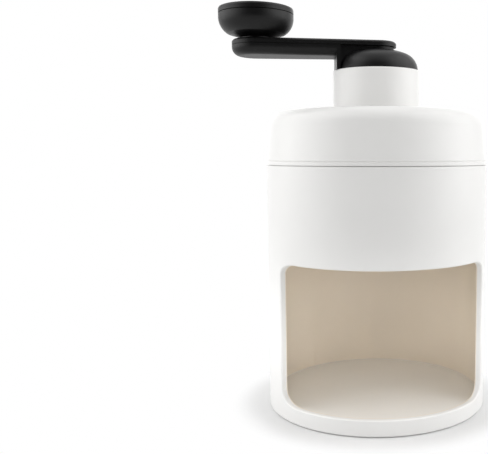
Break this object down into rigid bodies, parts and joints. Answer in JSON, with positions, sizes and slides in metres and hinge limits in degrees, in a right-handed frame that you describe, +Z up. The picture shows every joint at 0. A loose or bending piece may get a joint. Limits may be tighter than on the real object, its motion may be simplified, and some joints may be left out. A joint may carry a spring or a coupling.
{
  "type": "ice shaver",
  "caption": "Hand cranked ice shaver with an open serving bay, a twist-lock lid, a spring-fed spiked plate and a top crank with a turning knob",
  "frame": {"origin": "centre of the underside of the base pad, on the axis of the housing", "axes": "+Z up along the housing's axis; the serving window faces -Y; at rest the crank points along -X"},
  "size_m": [0.1383, 0.115, 0.206],
  "materials": {
    "white_shell": "fine satin white moulded plastic",
    "white_inner": "smooth white food-safe plastic",
    "bearing_plastic": "smooth natural bearing plastic",
    "silicone": "soft translucent grey silicone",
    "steel": "stainless steel",
    "black_crank": "satin black moulded plastic"
  },
  "bodies": {
    "housing": {"outer_housing": "white_shell", "base_pad": "silicone", "ice_chamber": "white_shell", "blade_deck": "white_inner", "shave_blade": "steel", "blade_clamp": "white_inner", "blade_screws": "steel", "chamber_screws": "steel"},
    "seal": {"lid_seal": "silicone"},
    "lid": {"top_lid": "white_shell", "neck_bush": "bearing_plastic"},
    "crank": {"crank_arm": "black_crank", "crank_cover": "black_crank", "crank_washer": "steel", "crank_screw": "steel", "drive_sleeve": "bearing_plastic", "thrust_washer": "bearing_plastic", "feed_spring": "steel", "knob_spindle": "steel"},
    "knob": {"knob_body": "black_crank", "knob_cap": "black_crank", "knob_washer": "bearing_plastic"},
    "press": {"feed_rod": "bearing_plastic", "drive_pin": "steel", "press_plate": "white_inner", "spike_disc": "steel", "spike_screws": "steel", "plate_screw": "steel"}
  },
  "joints": [
    {"name": "lid_lift", "type": "slide", "parent": "housing", "child": "seal", "axis": [0, 0, 1], "range_m": [0, 0.06]},
    {"name": "lid_twist", "type": "hinge", "parent": "seal", "child": "lid", "pos_m": [0, 0, 0.1288], "axis": [0, 0, -1], "range_deg": [0, 30]},
    {"name": "crank_turn", "type": "hinge", "parent": "lid", "child": "crank", "pos_m": [0, 0, 0.1752], "axis": [0, 0, -1], "continuous": true},
    {"name": "knob_spin", "type": "hinge", "parent": "crank", "child": "knob", "pos_m": [-0.0618, 0, 0.1912], "axis": [0, 0, 1], "continuous": true},
    {"name": "press_feed", "type": "slide", "parent": "crank", "child": "press", "axis": [0, 0, 1], "range_m": [0, 0.032], "stiffness_N_per_m": 300, "springref_m": -0.03, "deforming": ["feed_spring"]}
  ]
}
